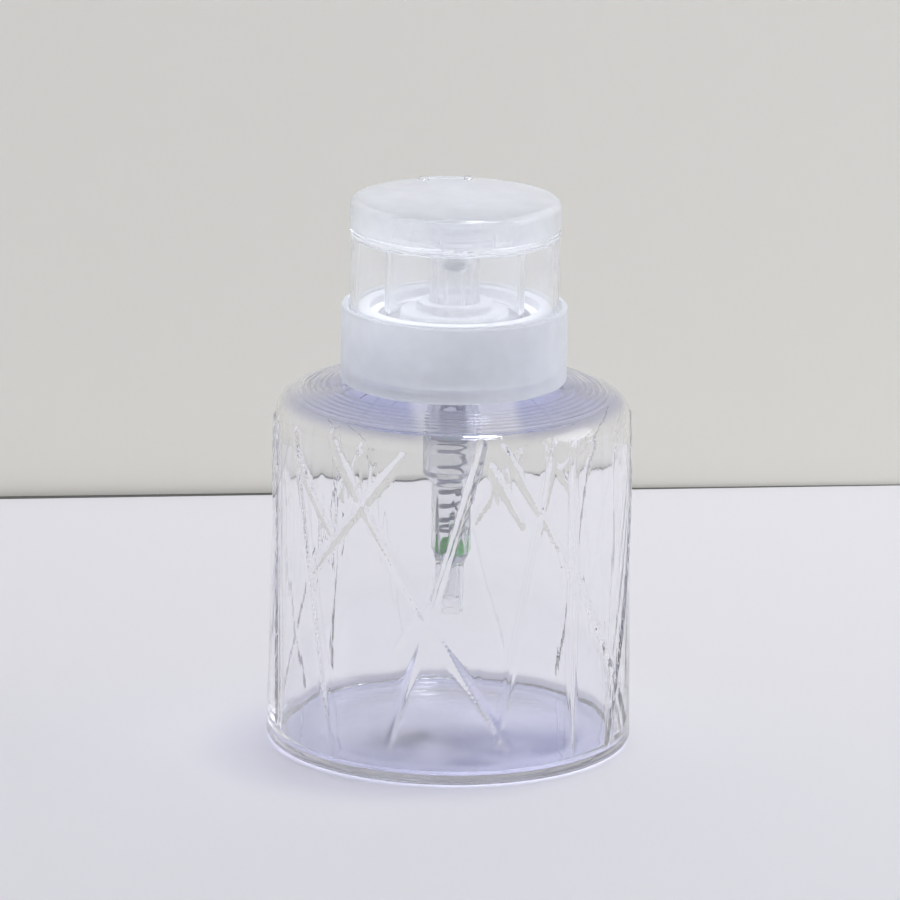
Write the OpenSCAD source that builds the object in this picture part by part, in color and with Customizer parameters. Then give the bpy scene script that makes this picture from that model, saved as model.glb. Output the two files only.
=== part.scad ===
// Push-down pump bottle: a clear bottle with a screw-on pump, worked by pressing the dish on its top.
// The base stands on z = 0, the pump's axis is the z axis, the lid's hinge is at +Y and its tab at -Y.

/* [Bottle] */
// Diameter at the foot of the side wall
bottle_d = 68; // [64:0.5:76]
// Diameter at the top of the side wall, under the shoulder's rounding
bottle_top_d = 65.6; // [63:0.2:68]
// Height of the shoulder's outer edge
shoulder_h = 66; // [58:0.5:90]
// Slope of the shoulder, in degrees
shoulder_slope = 14; // [10:0.5:15]
// Radius that joins the side wall to the shoulder
shoulder_r = 3.9; // [3.2:0.1:5]
// Thickness of the side wall at its top
wall_t = 1.1; // [0.8:0.1:1.2]
// Thickness of the side wall at its foot
foot_wall_t = 1.9; // [1:0.1:2.2]
// Thickness of the base at its rim
base_t = 1.4; // [1.2:0.1:3]
// Height of the hollow under the base
punt_h = 1.1; // [0.4:0.1:1.4]
// Number of fine rings cut round the shoulder
ring_count = 6; // [1:1:6]
// Distance between the shoulder's rings
ring_pitch = 1.2; // [0.9:0.1:1.3]

/* [Neck thread] */
// Diameter of the neck under its thread
neck_d = 31; // [30.9:0.1:31.1]
// Diameter over the neck's thread
thread_d = 32.8; // [32.4:0.1:33]
// Rise of the thread in one turn
thread_pitch = 3.2; // [3:0.1:3.4]
// Turns of thread
thread_turns = 1.25; // [1:0.05:1.3]

/* [Collar] */
// Outer diameter of the screw collar
collar_d = 41.8; // [41.6:0.1:43]
// Height of the collar's outer wall
collar_h = 14.3; // [14:0.1:14.4]

/* [Pump] */
// How far the head is pushed down
stroke = 8; // [4:0.5:8]
// Bore of the cylinder that the piston runs in
cylinder_bore = 8.8; // [8.6:0.1:9]
// Diameter of the inlet check ball
inlet_ball_d = 4.8; // [4.6:0.1:4.8]
// Diameter of the outlet check ball
outlet_ball_d = 3.5; // [3.4:0.05:3.5]
// Length of the suction tube
tube_len = 9.15; // [8:0.05:25]
// Wire diameter of the return spring
wire_d = 0.7; // [0.5:0.05:0.7]
// Working turns of the return spring
spring_turns = 7; // [5:1:8]

/* [Head and lid] */
// Outer diameter of the head's skirt
skirt_d = 38.5; // [38.3:0.1:38.6]
// Outer diameter of the lid
lid_d = 38.9; // [38.6:0.1:39.2]
// Width of the lid's thumb tab
tab_w = 9.6; // [6:0.2:14]

/* [Hidden] */
$fn = 96;

// Heights are worked out from the neck's top, which the pump hangs from.
neck_z = shoulder_h + 13.4;
bottle_r = bottle_d / 2;
bottle_top_r = bottle_top_d / 2;
corner_r = 1.5;
arc_z = shoulder_h - shoulder_r;
edge_r = bottle_top_r - shoulder_r + shoulder_r * sin(shoulder_slope);
edge_z = arc_z + shoulder_r * cos(shoulder_slope);
neck_r = neck_d / 2;
neck_bore_r = neck_r - 1.3;
thread_r = thread_d / 2;

collar_r = collar_d / 2;
collar_top = neck_z + 3.3;
collar_bottom = collar_top - collar_h;
socket_r = thread_r + 0.35;
socket_out_r = socket_r + 1.15;
deck_z = neck_z + 1.63;
deck_hole_r = 15.6;

cylinder_r = cylinder_bore / 2;
cylinder_out_r = cylinder_r + 0.9;
flange_z = neck_z + 0.8;
flange_t = 0.8;
cup_floor = neck_z - 6.2;
cup_r = 13.2;
cup_out_r = 14.0;
tower_r = 4.95;
tower_out_r = 6.4;
tower_top = neck_z + 1.5;
cylinder_foot = neck_z - 28;
barrel_top = neck_z - 29.8;
barrel_r = 3.1;
barrel_out_r = 3.8;
seat_z = neck_z - 45.7;
seat_r = 1.4;
cage_top = neck_z - 40.5;
spigot_r = 1.65;
spigot_z = neck_z - 46.4;
clear = 0.03;

inlet_r = inlet_ball_d / 2;
inlet_z = seat_z - seat_r + inlet_r * sqrt(2) + clear;
outlet_r = outlet_ball_d / 2;
outlet_seat_z = neck_z + 10.3;
stem_bore_r = 1.3;
outlet_z = outlet_seat_z - stem_bore_r + outlet_r * sqrt(2) + clear;

rod_r = 2.6;
foot_z = neck_z - 19.4;
stem_top = neck_z + 14.2;
head_socket_r = 4.6;
skirt_r = skirt_d / 2;
dish_z = neck_z + 16.1;
rim_z = neck_z + 17.55;
lid_r = lid_d / 2;
lid_z = rim_z + 0.35;
lid_top = neck_z + 23.6;
hinge_y = 18.2;
hinge_z = neck_z + 21.6;
pin_r = 0.9;
ear_r = 1.8;

// Points of a round corner about (x, y), from angle a0 to a1.
function corner(x, y, r, a0, a1, n = 6) =
    [for (i = [0:n]) let(a = a0 + (a1 - a0) * i / n) [x + r * cos(a), y + r * sin(a)]];

// Height of the shoulder's outer surface at radius r.
function shoulder_z(r) = edge_z + (edge_r - r) * tan(shoulder_slope);

// A solid of revolution from an outline of [radius, height] points.
module turned(outline) {
    rotate_extrude() polygon(outline);
}

// A thread: a ridge that climbs one pitch a turn, from radius r_root to r_crest.
module thread(r_root, r_crest, z0) {
    steps = 36;
    count = round(thread_turns * steps);
    section = [[r_root, -0.75], [r_crest, -0.4], [r_crest, 0.4], [r_root, 0.75]];
    points = [for (i = [0:count], p = section)
        let(a = 360 * i / steps)
        [p[0] * cos(a), p[0] * sin(a), z0 + p[1] + thread_pitch * i / steps]];
    order = r_crest > r_root ? [3, 2, 1, 0] : [0, 1, 2, 3];
    sides = [for (i = [0:count - 1], k = [0:3])
        let(a = 4 * i + order[k], b = 4 * i + order[(k + 1) % 4])
        each [[a, a + 4, b], [b, a + 4, b + 4]]];
    end = 4 * count;
    caps = [[for (k = [0:3]) order[k]], [for (k = [3:-1:0]) end + order[k]]];
    polyhedron(points, concat(sides, caps));
}

// Clear bottle: tapered wall, sloping ringed shoulder, threaded neck and thick base.
module bottle() {
    foot_in = bottle_r - 5.5;
    inner_r = bottle_top_r - wall_t;
    floor_r = bottle_r - foot_wall_t - 2;
    rings = [for (i = [0:ring_count - 1], k = [1, 0, -1])
        let(r = edge_r - 1 - ring_pitch * i + 0.35 * k)
        [r, shoulder_z(r) - (k == 0 ? 0.28 : 0)]];
    outline = concat(
        [for (i = [0:6]) let(r = foot_in * i / 6) [r, punt_h * (1 - pow(i / 6, 2))]],
        corner(bottle_r - corner_r, corner_r, corner_r, -90, 0),
        corner(bottle_top_r - shoulder_r, arc_z, shoulder_r, 0, 90 - shoulder_slope, 8),
        rings,
        [[neck_r, shoulder_z(neck_r)], [neck_r, neck_z - 0.4], [neck_r - 0.4, neck_z]],
        [[neck_bore_r + 0.3, neck_z], [neck_bore_r, neck_z - 0.3], [neck_bore_r, shoulder_h + 1.6]],
        corner(inner_r - 2.8, arc_z, 2.8, 80, 0),
        corner(floor_r, base_t + 2, 2, 0, -90),
        [for (i = [5:-1:0]) [floor_r * i / 6, base_t + 0.8 * (1 - pow(i / 6, 2))]]
    );
    color("aliceblue", 0.35) {
        turned(outline);
        thread(neck_r - 0.2, thread_r, neck_z - 6.8);
    }
}

// Soft washer between the neck and the pump's flange.
module neck_gasket() {
    color("white") turned([
        [neck_bore_r + 0.1, neck_z + 0.02], [socket_r - 0.45, neck_z + 0.02],
        [socket_r - 0.45, flange_z - 0.02], [neck_bore_r + 0.1, flange_z - 0.02]]);
}

// Screw collar: threaded socket and outer wall, with a deep slot between them for the skirt.
module screw_collar() {
    slot_r = collar_r - 1.15;
    web_top = collar_bottom + 2.6;
    under_z = shoulder_z(socket_r) + 0.55;
    color("ghostwhite", 0.6) {
        turned([
            [collar_r - 0.4, collar_bottom], [collar_r, collar_bottom + 0.4],
            [collar_r, collar_top - 0.4], [collar_r - 0.4, collar_top],
            [slot_r + 0.3, collar_top], [slot_r, collar_top - 0.3],
            [slot_r, web_top + 0.5], [slot_r - 0.5, web_top],
            [socket_out_r + 0.5, web_top], [socket_out_r, web_top + 0.5],
            [socket_out_r, collar_top - 0.3], [socket_out_r - 0.3, collar_top],
            [deck_hole_r + 0.3, collar_top], [deck_hole_r, collar_top - 0.3],
            [deck_hole_r, deck_z], [socket_r, deck_z], [socket_r, under_z]]);
        thread(socket_r + 0.2, neck_r + 0.3, neck_z - 6.8 - thread_pitch / 2);
    }
}

// Pump chamber: flange, cup that drops into the neck, tower, cylinder, spring barrel and spigot.
module pump_chamber() {
    cage_ribs = 6;
    color("ghostwhite", 0.6) {
        difference() {
            turned([
                [cup_out_r, flange_z], [socket_r - 0.25, flange_z],
                [socket_r - 0.25, flange_z + flange_t], [cup_r + 0.3, flange_z + flange_t],
                [cup_r, flange_z + flange_t - 0.3], [cup_r, cup_floor],
                [tower_out_r, cup_floor], [tower_out_r, tower_top], [tower_r, tower_top],
                [tower_r, cup_floor], [cylinder_r, cup_floor], [cylinder_r, cylinder_foot],
                [barrel_r, barrel_top], [barrel_r, seat_z + barrel_r - seat_r],
                [seat_r, seat_z], [seat_r, seat_z - 0.6], [0.95, seat_z - 1],
                [0.95, spigot_z - 6.4], [1.4, spigot_z - 6.4], [spigot_r, spigot_z - 6],
                [spigot_r, spigot_z], [2.5, spigot_z], [2.5, spigot_z + 0.2],
                [barrel_out_r, spigot_z + 3], [barrel_out_r, barrel_top - 1.2],
                [cylinder_out_r, barrel_top + 0.8], [cylinder_out_r, cup_floor - 0.8],
                [cup_out_r, cup_floor - 0.8]]);
            // Vent that lets air into the bottle as the liquid leaves it
            translate([0, 0, cup_floor - 3]) rotate([0, 90, 0]) cylinder(r = 0.5, h = 8);
        }
        // Ribs that centre the ball and carry the spring
        for (i = [0:cage_ribs - 1]) {
            rotate(i * 360 / cage_ribs)
                translate([inlet_r + 0.1, -0.25, seat_z + 1.7])
                    cube([barrel_r - inlet_r, 0.5, cage_top - seat_z - 1.7]);
        }
    }
}

// Cap on the chamber's tower that guides the head's socket.
module stem_guide() {
    guide_r = 10.05;
    boss_r = 7;
    plate_z = tower_top + 0.03;
    boss_top = neck_z + 4.2;
    bore_r = head_socket_r + 0.08;
    color("white", 0.7) turned([
        [bore_r, plate_z], [tower_out_r + 0.04, plate_z], [tower_out_r + 0.04, plate_z - 3.4],
        [tower_out_r + 0.85, plate_z - 3.4], [tower_out_r + 0.85, plate_z],
        [guide_r - 0.85, plate_z], [guide_r - 0.85, plate_z - 6.3], [guide_r, plate_z - 6.3],
        [guide_r, plate_z + 0.7], [guide_r - 0.3, plate_z + 1], [boss_r, plate_z + 1],
        [boss_r, boss_top - 0.4], [boss_r - 0.4, boss_top],
        [bore_r + 0.3, boss_top], [bore_r, boss_top - 0.3]]);
}

// Bush in the cylinder's mouth: the rod runs through it and the piston stops against it.
module stop_bush() {
    bore_r = rod_r + 0.08;
    color("white", 0.7) turned([
        [bore_r, cup_floor - 6.6], [cylinder_r - 0.6, cup_floor - 6.6],
        [cylinder_r - 0.02, cup_floor - 6], [cylinder_r - 0.02, cup_floor + 0.02],
        [tower_r - 0.05, cup_floor + 0.02], [tower_r - 0.05, cup_floor + 0.4],
        [bore_r, cup_floor + 0.4]]);
}

// Short tube pushed over the chamber's spigot.
module suction_tube() {
    top = spigot_z - 0.05;
    color("whitesmoke", 0.6) turned([
        [spigot_r + 0.02, top - tube_len], [2.35, top - tube_len], [2.35, top], [spigot_r + 0.02, top]]);
}

// Green check ball on the chamber's seat.
module inlet_ball() {
    color("limegreen") translate([0, 0, inlet_z]) sphere(r = inlet_r);
}

// Compression spring with closed ends, from the ball cage up to the stem's foot.
module return_spring() {
    steps = 20;
    sides = 8;
    coil_r = barrel_r - 0.6;
    base = cage_top + 0.05;
    height = foot_z - 0.05 - base;
    pitch = (height - 3 * wire_d) / spring_turns;
    turns = spring_turns + 2;
    function rise(t) = t < 1 ? wire_d * t
        : t < 1 + spring_turns ? wire_d + (t - 1) * pitch
        : wire_d + spring_turns * pitch + (t - 1 - spring_turns) * wire_d;
    count = turns * steps;
    points = [for (i = [0:count], k = [0:sides - 1])
        let(a = 360 * i / steps, b = 360 * k / sides, r = coil_r + wire_d / 2 * cos(b))
        [r * cos(a), r * sin(a), base + wire_d / 2 * (1 + sin(b)) + rise(i / steps)]];
    tube = [for (i = [0:count - 1], k = [0:sides - 1])
        let(p = sides * i + k, q = sides * i + (k + 1) % sides)
        each [[p, q, p + sides], [q, q + sides, p + sides]]];
    caps = [[for (k = [sides - 1:-1:0]) k], [for (k = [0:sides - 1]) sides * count + k]];
    color("silver") polyhedron(points, concat(tube, caps));
}

// Lip-seal piston pressed on the rod.
module piston() {
    lip_r = cylinder_r - 0.05;
    waist_r = cylinder_r - 0.5;
    z = foot_z + 0.7;
    color("white") turned([
        [rod_r + 0.02, z], [3.3, z], [waist_r, z - 0.2], [lip_r, z - 0.2], [lip_r, z + 0.6],
        [waist_r, z + 1.5], [waist_r, z + 3.9], [lip_r, z + 4.8], [lip_r, z + 5.6],
        [waist_r, z + 5.6], [3.3, z + 5.4], [rod_r + 0.02, z + 5.4]]);
}

// Hollow rod that carries the piston; the outlet ball sits in its top.
module piston_stem() {
    stem_r = 3.28;
    ball_room_r = 2.2;
    color("ghostwhite", 0.7) turned([
        [stem_bore_r, foot_z], [3.1, foot_z], [3.1, foot_z + 0.65], [rod_r, foot_z + 0.65],
        [rod_r, neck_z + 2.6], [stem_r, neck_z + 3.3], [stem_r, stem_top],
        [ball_room_r, stem_top], [ball_room_r, outlet_seat_z + ball_room_r - stem_bore_r],
        [stem_bore_r, outlet_seat_z]]);
}

// Check ball at the top of the stem.
module outlet_ball() {
    color("silver") translate([0, 0, outlet_z]) sphere(r = outlet_r);
}

// Slotted button in the middle of the dish, which keeps the outlet ball in.
module outlet_cap() {
    stub_r = 2.28;
    button_z = neck_z + 17.22;
    slots = 4;
    color("white", 0.8) difference() {
        turned([
            [0, stem_top + 0.02], [stub_r, stem_top + 0.02], [stub_r, button_z], [3.4, button_z],
            [3.4, button_z + 0.6], [3, button_z + 1], [0, button_z + 1]]);
        for (i = [0:slots - 1]) {
            rotate(i * 360 / slots) {
                translate([1.5, -0.4, stem_top - 1]) cube([1, 0.8, button_z + 1.4 - stem_top]);
                translate([1.5, -0.4, button_z - 1]) cube([3, 0.8, 1.4]);
            }
        }
    }
}

// Press head: dish, skirt, guide tube and socket in one moulding, with two hinge ears.
module press_head() {
    skirt_in = skirt_r - 1.05;
    skirt_foot = neck_z + 0.9;
    guide_out = 12.9;
    guide_in = 12;
    guide_foot = cup_floor + stroke + 0.5;
    socket_foot = cup_floor + stroke + 0.8;
    dish_in = 5.6;
    dish_out = 17.8;
    dish = [for (i = [8:-1:0]) [dish_in + (dish_out - dish_in) * i / 8, dish_z + 1.25 * pow(i / 8, 2)]];
    ear_in = 3.5;
    ear_t = 1.4;
    color("ghostwhite", 0.5) difference() {
        union() {
            turned(concat(
                [[3.3, socket_foot], [head_socket_r, socket_foot], [head_socket_r, dish_z - 1.1],
                 [guide_in, dish_z - 0.6], [guide_in, guide_foot], [guide_out, guide_foot],
                 [guide_out, dish_z - 0.3], [skirt_in, dish_z + 0.4], [skirt_in, skirt_foot],
                 [skirt_r - 0.3, skirt_foot], [skirt_r, skirt_foot + 0.3], [skirt_r, rim_z - 0.75],
                 [lid_r, rim_z - 0.65], [lid_r, rim_z - 0.15], [lid_r - 0.15, rim_z],
                 [dish_out + 0.6, rim_z]],
                dish,
                [[head_socket_r, dish_z + 0.2], [head_socket_r, neck_z + 17.2],
                 [2.3, neck_z + 17.2], [2.3, stem_top + 0.02], [3.3, stem_top + 0.02]]));
            for (side = [-1, 1]) {
                translate([side * (ear_in + ear_t / 2), hinge_y, 0]) {
                    translate([0, 0, hinge_z]) rotate([0, 90, 0])
                        cylinder(r = ear_r, h = ear_t, center = true);
                    translate([-ear_t / 2, -ear_r, rim_z - 0.9])
                        cube([ear_t, 2 * ear_r, hinge_z - rim_z + 0.9]);
                }
            }
        }
        // Holes for the lid's pins
        translate([0, hinge_y, hinge_z]) rotate([0, 90, 0])
            cylinder(r = pin_r + 0.08, h = 12, center = true);
        // Finger notch under the lid's tab
        translate([-2.85, -lid_r - 1, rim_z - 0.65]) cube([5.7, 1.7, 1]);
    }
}

// Flip lid: shallow domed cap with a thumb tab, sealing rings and a hinge knuckle with two pins.
module flip_lid() {
    edge = 1.5;
    dome = 0.35;
    side_in = lid_r - 1.2;
    ceiling = lid_top - 1.25;
    notch_w = 10.4;
    notch_y = 15.6;
    knuckle_w = 6.6;
    color("ghostwhite", 0.5) {
        difference() {
            union() {
                turned(concat(
                    [for (i = [0:4]) let(r = (lid_r - edge) * i / 4) [r, lid_top - dome * pow(i / 4, 2)]],
                    corner(lid_r - edge, lid_top - dome - edge, edge, 75, 0),
                    [[lid_r, lid_z], [side_in, lid_z]],
                    corner(side_in - 0.8, ceiling - 0.95, 0.8, 0, 80, 4),
                    [[0, ceiling]]));
                // Ring that closes on the outlet button, and lip that keeps the dish clean
                difference() {
                    translate([0, 0, lid_z - 0.5]) cylinder(r = 4.5, h = ceiling - lid_z + 1);
                    translate([0, 0, lid_z - 1]) cylinder(r = 3.7, h = ceiling - lid_z + 1.2);
                }
                difference() {
                    translate([0, 0, lid_z - 0.1]) cylinder(r = 14.4, h = ceiling - lid_z + 0.6);
                    translate([0, 0, lid_z - 1]) cylinder(r = 13.6, h = ceiling - lid_z + 1.2);
                }
                // Thumb tab
                intersection() {
                    translate([0, 0, lid_z]) difference() {
                        cylinder(r = lid_r + 1.2, h = 1.6);
                        translate([0, 0, -1]) cylinder(r = lid_r - 0.5, h = 4);
                    }
                    translate([-tab_w / 2, -lid_r - 5, lid_z - 1]) cube([tab_w, 10, 4]);
                }
            }
            // Notch for the hinge ears
            translate([-notch_w / 2, notch_y, lid_z - 1]) cube([notch_w, 10, lid_top - lid_z + 2]);
        }
        translate([0, hinge_y, hinge_z]) rotate([0, 90, 0]) {
            cylinder(r = ear_r - 0.1, h = knuckle_w, center = true);
            cylinder(r = pin_r, h = 9.8, center = true);
        }
        translate([-knuckle_w / 2, notch_y - 1, hinge_z + 0.2]) cube([knuckle_w, hinge_y - notch_y + 1, 1.4]);
    }
}

bottle();
neck_gasket();
screw_collar();
pump_chamber();
stem_guide();
stop_bush();
suction_tube();
inlet_ball();
return_spring();
piston();
piston_stem();
outlet_ball();
outlet_cap();
press_head();
flip_lid();
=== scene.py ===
"""Push-down pump bottle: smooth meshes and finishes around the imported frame.

The bottle stands on z = 0 with the pump's axis on the z axis, the lid's hinge at +Y and its tab at -Y.
Outlines are given in millimetres as [radius, height]; every mesh is written in metres.
"""

import bpy
import numpy as np
from bpy.props import FloatProperty, FloatVectorProperty, IntProperty, PointerProperty
from mathutils import Matrix, Vector


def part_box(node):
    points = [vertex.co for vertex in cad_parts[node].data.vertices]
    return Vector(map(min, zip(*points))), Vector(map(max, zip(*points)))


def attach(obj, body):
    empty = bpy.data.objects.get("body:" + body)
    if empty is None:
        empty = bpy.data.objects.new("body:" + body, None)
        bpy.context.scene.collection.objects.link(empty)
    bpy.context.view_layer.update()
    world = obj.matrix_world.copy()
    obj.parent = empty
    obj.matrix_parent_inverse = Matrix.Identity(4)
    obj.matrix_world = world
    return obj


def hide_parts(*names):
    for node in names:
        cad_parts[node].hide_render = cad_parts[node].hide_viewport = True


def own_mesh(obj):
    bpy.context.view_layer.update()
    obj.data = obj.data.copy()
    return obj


bl_info = {
    "name": "Pump bottle",
    "version": (1, 0, 0),
    "blender": (4, 5, 0),
    "location": "3D View > Sidebar > Pump bottle",
    "description": "Builds a clear push-down pump bottle around its packed frame",
    "category": "Add Mesh",
}

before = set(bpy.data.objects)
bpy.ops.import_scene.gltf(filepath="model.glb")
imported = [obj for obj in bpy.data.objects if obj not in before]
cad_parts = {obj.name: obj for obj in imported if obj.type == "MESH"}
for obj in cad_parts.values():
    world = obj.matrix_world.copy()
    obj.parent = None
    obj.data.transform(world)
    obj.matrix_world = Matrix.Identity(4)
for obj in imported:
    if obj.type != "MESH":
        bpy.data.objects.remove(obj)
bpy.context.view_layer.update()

MM = 0.001
TAU = 2 * np.pi


def linear(hex_colour):
    """Turns an sRGB hex colour, such as "D8DCE6", into linear red, green and blue."""
    srgb = np.array([int(hex_colour[i:i + 2], 16) for i in (0, 2, 4)]) / 255
    return tuple(np.where(srgb <= 0.04045, srgb / 12.92, ((srgb + 0.055) / 1.055) ** 2.4).tolist())


def low(node):
    """A node's lowest corner, in millimetres."""
    return Vector(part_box(node)[0]) / MM


def high(node):
    """A node's highest corner, in millimetres."""
    return Vector(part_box(node)[1]) / MM


# Datums in millimetres that the outlines hang from. Heights follow the neck's rim, as in the CAD.
NECK = high("bottle").z
BOTTLE_R = high("bottle").x
HEAD_FOOT = NECK + 0.9
RIM = NECK + 17.55
LID_R = high("flip_lid").x
LID_FOOT = RIM + 0.35
LID_TOP = high("flip_lid").z
COLLAR_R = high("screw_collar").x
COLLAR_TOP = high("screw_collar").z
COLLAR_FOOT = low("screw_collar").z
CUP_FLOOR = NECK - 6.2
HINGE_Y = 18.2
HINGE_Z = NECK + 21.6


# ---------------- settings

def colour_setting(name, description, hex_colour):
    """A colour in a panel, whose default is given as sRGB hex."""
    return FloatVectorProperty(
        name=name, description=description, subtype="COLOR", default=linear(hex_colour), min=0, max=1)


class BottleSettings(bpy.types.PropertyGroup):
    """Sizes of the bottle's moulded pattern."""

    rib_height: FloatProperty(
        name="Rib height", description="How far the crossing ribs stand out of the wall",
        default=0.4 * MM, min=0, max=1 * MM, unit="LENGTH")
    rib_width: FloatProperty(
        name="Rib width", description="Width of a rib at its foot",
        default=1.25 * MM, min=1 * MM, max=4 * MM, unit="LENGTH")
    wave_height: FloatProperty(
        name="Wall waviness", description="How much the inner wall swells and thins",
        default=0.028 * MM, min=0, max=0.3 * MM, unit="LENGTH")
    columns: IntProperty(
        name="Columns", description="Faces round the bottle", default=540, min=128, max=560)


class FinishSettings(bpy.types.PropertyGroup):
    """Colours of the plastics and metals."""

    # Partly the PET's blue toner, partly painted shade on the tab's side of the shoulder.
    shoulder_toner_and_shade: colour_setting("Shoulder tone", "Blue toner of the PET, seen in the shoulder", "C0C3E2")
    # Partly the PET's blue toner, partly painted shade in the base and along the foot.
    base_toner_and_shade: colour_setting("Base tone", "Blue toner of the PET, seen in the base", "A8AABF")
    pp_body: colour_setting("PP haze", "Colour of the light that natural polypropylene scatters", "F7F9FC")
    ball_green: colour_setting("Ball green", "Colour of the moulded inlet ball", "2DB22A")
    wire: colour_setting("Wire", "Colour of the drawn stainless wire", "8E8F98")


class StageSettings(bpy.types.PropertyGroup):
    """The table, the backdrop, the lights and the camera."""

    table: colour_setting("Table", "Colour of the table", "E7E6E9")
    backdrop: colour_setting("Backdrop", "Colour of the backdrop", "F6F4EA")
    key_power: FloatProperty(
        name="Key light", description="Power of the soft light overhead, in watts",
        default=4.2, min=0, max=200)
    side_power: FloatProperty(
        name="Side light", description="Power of the soft light on the right, in watts",
        default=3, min=0, max=200)
    sky_light: FloatProperty(
        name="Room light", description="Strength of the light from all round",
        default=0.92, min=0, max=3)
    turn: FloatProperty(
        name="Camera turn", description="How far the camera stands to the left of the tab",
        default=np.radians(6.3), subtype="ANGLE")
    distance: FloatProperty(
        name="Camera distance", description="From the axis to the camera, along the table",
        default=1.25, min=0.3, max=5, unit="LENGTH")


class PumpBottleSettings(bpy.types.PropertyGroup):
    """All the settings of the pump bottle."""

    bottle: PointerProperty(type=BottleSettings)
    finish: PointerProperty(type=FinishSettings)
    stage: PointerProperty(type=StageSettings)


# ---------------- surfaces

def arc(x, y, radius, start, end, count):
    """Points on a circle about (x, y), evenly spaced from angle start to angle end, in degrees."""
    angle = np.radians(np.linspace(start, end, count))
    return np.column_stack([x + radius * np.cos(angle), y + radius * np.sin(angle)])


def run(start, end, count):
    """Evenly spaced points from start up to, but without, end."""
    share = np.arange(count)[:, None] / count
    return np.array(start) * (1 - share) + np.array(end) * share


def rounded(corners, closed=True, steps=5, margin=0.05):
    """Rounds an outline's corners, each given as (x, y, radius).

    Each corner becomes an arc that touches both its sides: it starts and ends radius / tan(half the
    corner's angle) from the corner. A point just outside each end keeps the flats flat when shaded.
    """
    corners = np.array(corners, float)
    points = corners[:, :2]
    pieces = []
    for i, (point, radius) in enumerate(zip(points, corners[:, 2])):
        if radius == 0 or (not closed and i in (0, len(points) - 1)):
            pieces.append(point[None])
            continue
        to_last = points[i - 1] - point
        to_next = points[(i + 1) % len(points)] - point
        room = 0.45 * min(np.hypot(*to_last), np.hypot(*to_next))
        to_last = to_last / np.hypot(*to_last)
        to_next = to_next / np.hypot(*to_next)
        half = np.arccos(np.clip(to_last @ to_next, -1, 1)) / 2
        if half > np.radians(88):
            pieces.append(point[None])
            continue
        reach = min(radius / np.tan(half), room)
        radius = reach * np.tan(half)
        middle = to_last + to_next
        centre = point + middle / np.hypot(*middle) * radius / np.sin(half)
        first = point + to_last * reach - centre
        last = point + to_next * reach - centre
        sweep = np.pi - 2 * half
        share = np.linspace(0, 1, steps + 1)[:, None]
        curve = (np.sin((1 - share) * sweep) * first + np.sin(share * sweep) * last) / np.sin(sweep)
        pieces += [(point + to_last * (reach + margin * reach))[None], centre + curve,
                   (point + to_next * (reach + margin * reach))[None]]
    return np.vstack(pieces)


def spun(outline, columns, shape=None):
    """Points of a surface of revolution.

    Row i, column j is outline point i, turned about the z axis by j / columns of a whole turn.
    shape(radius, height, angle) may return a changed radius, to raise or sink part of the surface.
    Angle 0 is at -Y, where the tab is, and a positive angle goes towards +X.
    """
    angle = TAU * np.arange(columns) / columns
    radius = np.repeat(outline[:, :1], columns, 1)
    height = np.repeat(outline[:, 1:], columns, 1)
    if shape:
        wrapped = (angle + np.pi) % TAU - np.pi
        radius = shape(radius, height, np.broadcast_to(wrapped, radius.shape))
    return np.stack([radius * np.sin(angle), -radius * np.cos(angle), height], -1)


def swept(path, across, up, section):
    """Points of a section carried along a path: row i is the section about path point i.

    A section point (a, b) goes to the path point plus a times across plus b times up.
    """
    return (path[:, None] + section[None, :, :1] * across[:, None] + section[None, :, 1:] * up[:, None])


def skin(rows, wrap=False):
    """Vertices and faces of a closed surface over a grid whose columns wrap round.

    With wrap, the last row joins the first. Otherwise each end is closed by a fan to its middle point.
    The faces are turned over if the volume that they enclose comes out negative.
    """
    count, columns = rows.shape[:2]
    index = np.arange(count * columns).reshape(count, columns)
    here = index if wrap else index[:-1]
    there = np.roll(index, -1, 0) if wrap else index[1:]
    quads = np.stack([here, np.roll(here, -1, 1), np.roll(there, -1, 1), there], -1).reshape(-1, 4)
    points = rows.reshape(-1, 3)
    fans = np.zeros((0, 3), int)
    if not wrap:
        points = np.vstack([points, rows[0].mean(0), rows[-1].mean(0)])
        first, last = index[0], index[-1]
        fans = np.vstack([
            np.stack([np.full(columns, len(points) - 2), np.roll(first, -1), first], -1),
            np.stack([np.full(columns, len(points) - 1), last, np.roll(last, -1)], -1)])
    triangles = np.vstack([quads[:, :3], quads[:, [0, 2, 3]], fans])
    a, b, c = (points[triangles[:, k]] for k in range(3))
    if np.einsum("ij,ij->i", a, np.cross(b, c)).sum() < 0:
        quads, fans = quads[:, ::-1], fans[:, ::-1]
    return points, quads, fans


def turned(corners, columns, shape=None):
    """The closed surface of a ring, from the corners of its section."""
    return skin(spun(rounded(corners), columns, shape), wrap=True)


def piece(name, skins, body, nodes, finish):
    """Makes one mesh object from closed surfaces in millimetres, and puts it in the frame.

    It rides on body, stands for the CAD nodes and has the named finish in the slot.
    """
    starts = np.cumsum([0] + [len(points) for points, _, _ in skins])
    points = np.vstack([s[0] for s in skins]) * MM
    quads = np.vstack([s[1] + start for s, start in zip(skins, starts)])
    fans = np.vstack([s[2] + start for s, start in zip(skins, starts)])
    loops = np.concatenate([quads.ravel(), fans.ravel()]).astype(np.int32)
    sizes = np.concatenate([np.full(len(quads), 4), np.full(len(fans), 3)])
    mesh = bpy.data.meshes.new(name)
    mesh.vertices.add(len(points))
    mesh.vertices.foreach_set("co", points.astype(np.float32).ravel())
    mesh.loops.add(len(loops))
    mesh.loops.foreach_set("vertex_index", loops)
    mesh.polygons.add(len(sizes))
    mesh.polygons.foreach_set("loop_start", (np.cumsum(sizes) - sizes).astype(np.int32))
    mesh.update(calc_edges=True)
    if mesh.validate():
        raise RuntimeError(f"{name}: the mesh had faces that had to be mended")
    mesh.shade_smooth()
    mesh.materials.append(finish_named(finish))
    made = bpy.data.objects.new(name, mesh)
    bpy.context.scene.collection.objects.link(made)
    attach(made, body)
    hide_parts(*nodes)
    return made


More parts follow.
